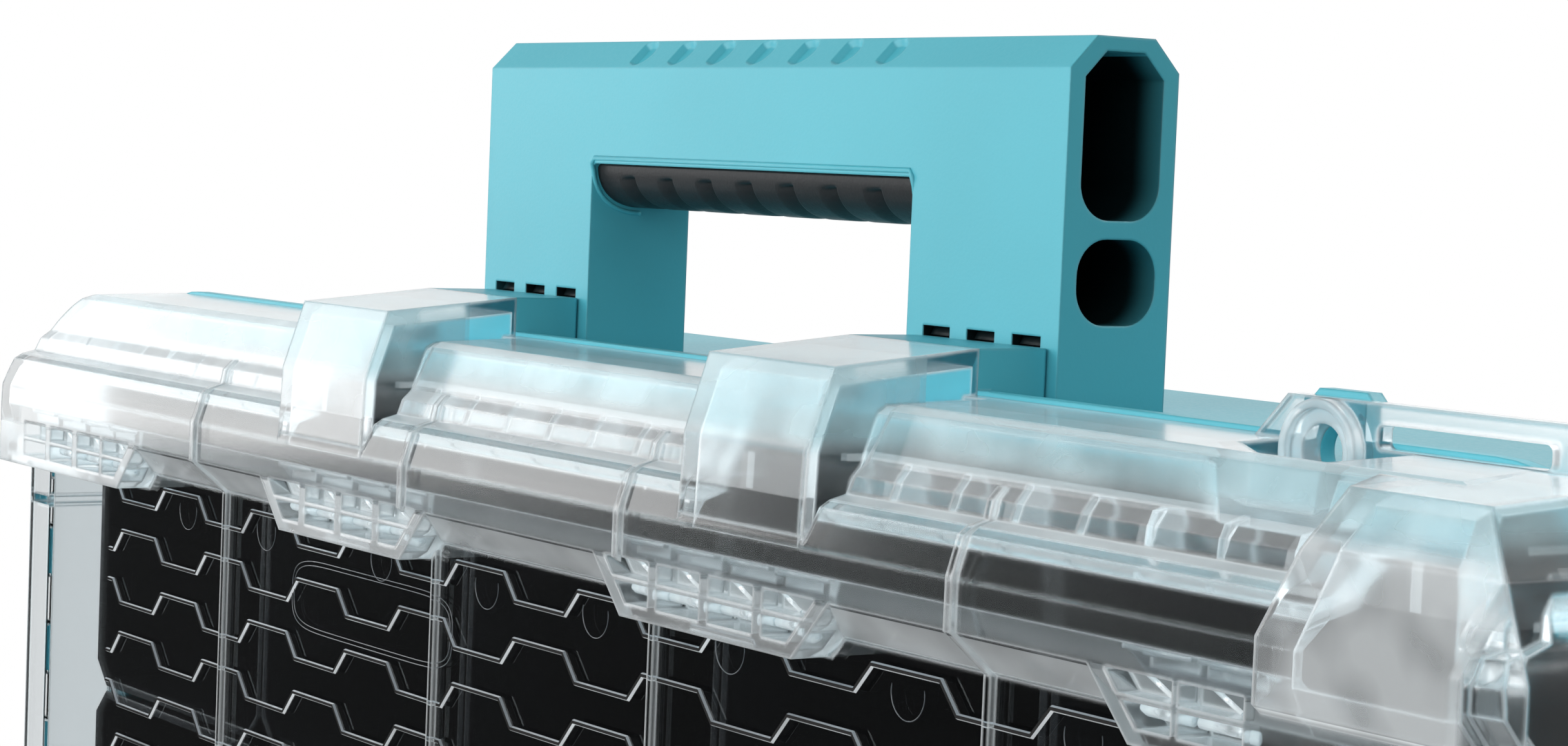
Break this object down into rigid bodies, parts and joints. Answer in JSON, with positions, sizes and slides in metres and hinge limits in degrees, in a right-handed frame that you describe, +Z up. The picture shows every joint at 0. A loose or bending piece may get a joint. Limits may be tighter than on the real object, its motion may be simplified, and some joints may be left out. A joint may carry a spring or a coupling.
{
  "type": "saw blade storage case",
  "caption": "Upright storage case: a teal base with lift-out bins, a clear ribbed lid hinged on one end with two latches, and a carrying handle on top.",
  "frame": {"origin": "under the middle of the case, on the plane that its feet stand on", "axes": "+X along the case towards the latches, +Y from the lid to the back, +Z up towards the handle"},
  "size_m": [0.3925, 0.1006, 0.334],
  "materials": {
    "teal_shell": "moulded, satin",
    "teal_handle": "moulded, satin",
    "clear_lid": "clear, lightly frosted",
    "soft_grip": "soft, matt",
    "pin_steel": "plain",
    "latch_black": "moulded, satin",
    "bin_black": "moulded, satin"
  },
  "bodies": {
    "base": {"base_shell": "teal_shell", "handle": "teal_handle", "handle_grip": "soft_grip", "hinge_pin_upper": "pin_steel", "hinge_pin_lower": "pin_steel", "latch_pin_upper": "pin_steel", "latch_pin_lower": "pin_steel", "small_bin_1": "bin_black", "small_bin_2": "bin_black", "small_bin_3": "bin_black", "small_bin_4": "bin_black", "small_bin_5": "bin_black", "long_bin_1": "bin_black", "long_bin_2": "bin_black", "long_bin_3": "bin_black", "long_bin_4": "bin_black", "long_bin_5": "bin_black"},
    "lid": {"lid": "clear_lid"},
    "latch_upper": {"latch_upper": "latch_black"},
    "latch_lower": {"latch_lower": "latch_black"}
  },
  "joints": [
    {"name": "lid_hinge", "type": "hinge", "parent": "base", "child": "lid", "pos_m": [-0.193, -0.0214, 0.146], "axis": [0, 0, -1], "range_deg": [0, 105]},
    {"name": "latch_upper_pivot", "type": "hinge", "parent": "base", "child": "latch_upper", "pos_m": [0.1932, -0.015, 0.212], "axis": [0, 0, 1], "range_deg": [0, 100]},
    {"name": "latch_lower_pivot", "type": "hinge", "parent": "base", "child": "latch_lower", "pos_m": [0.1932, -0.015, 0.08], "axis": [0, 0, 1], "range_deg": [0, 100]}
  ]
}
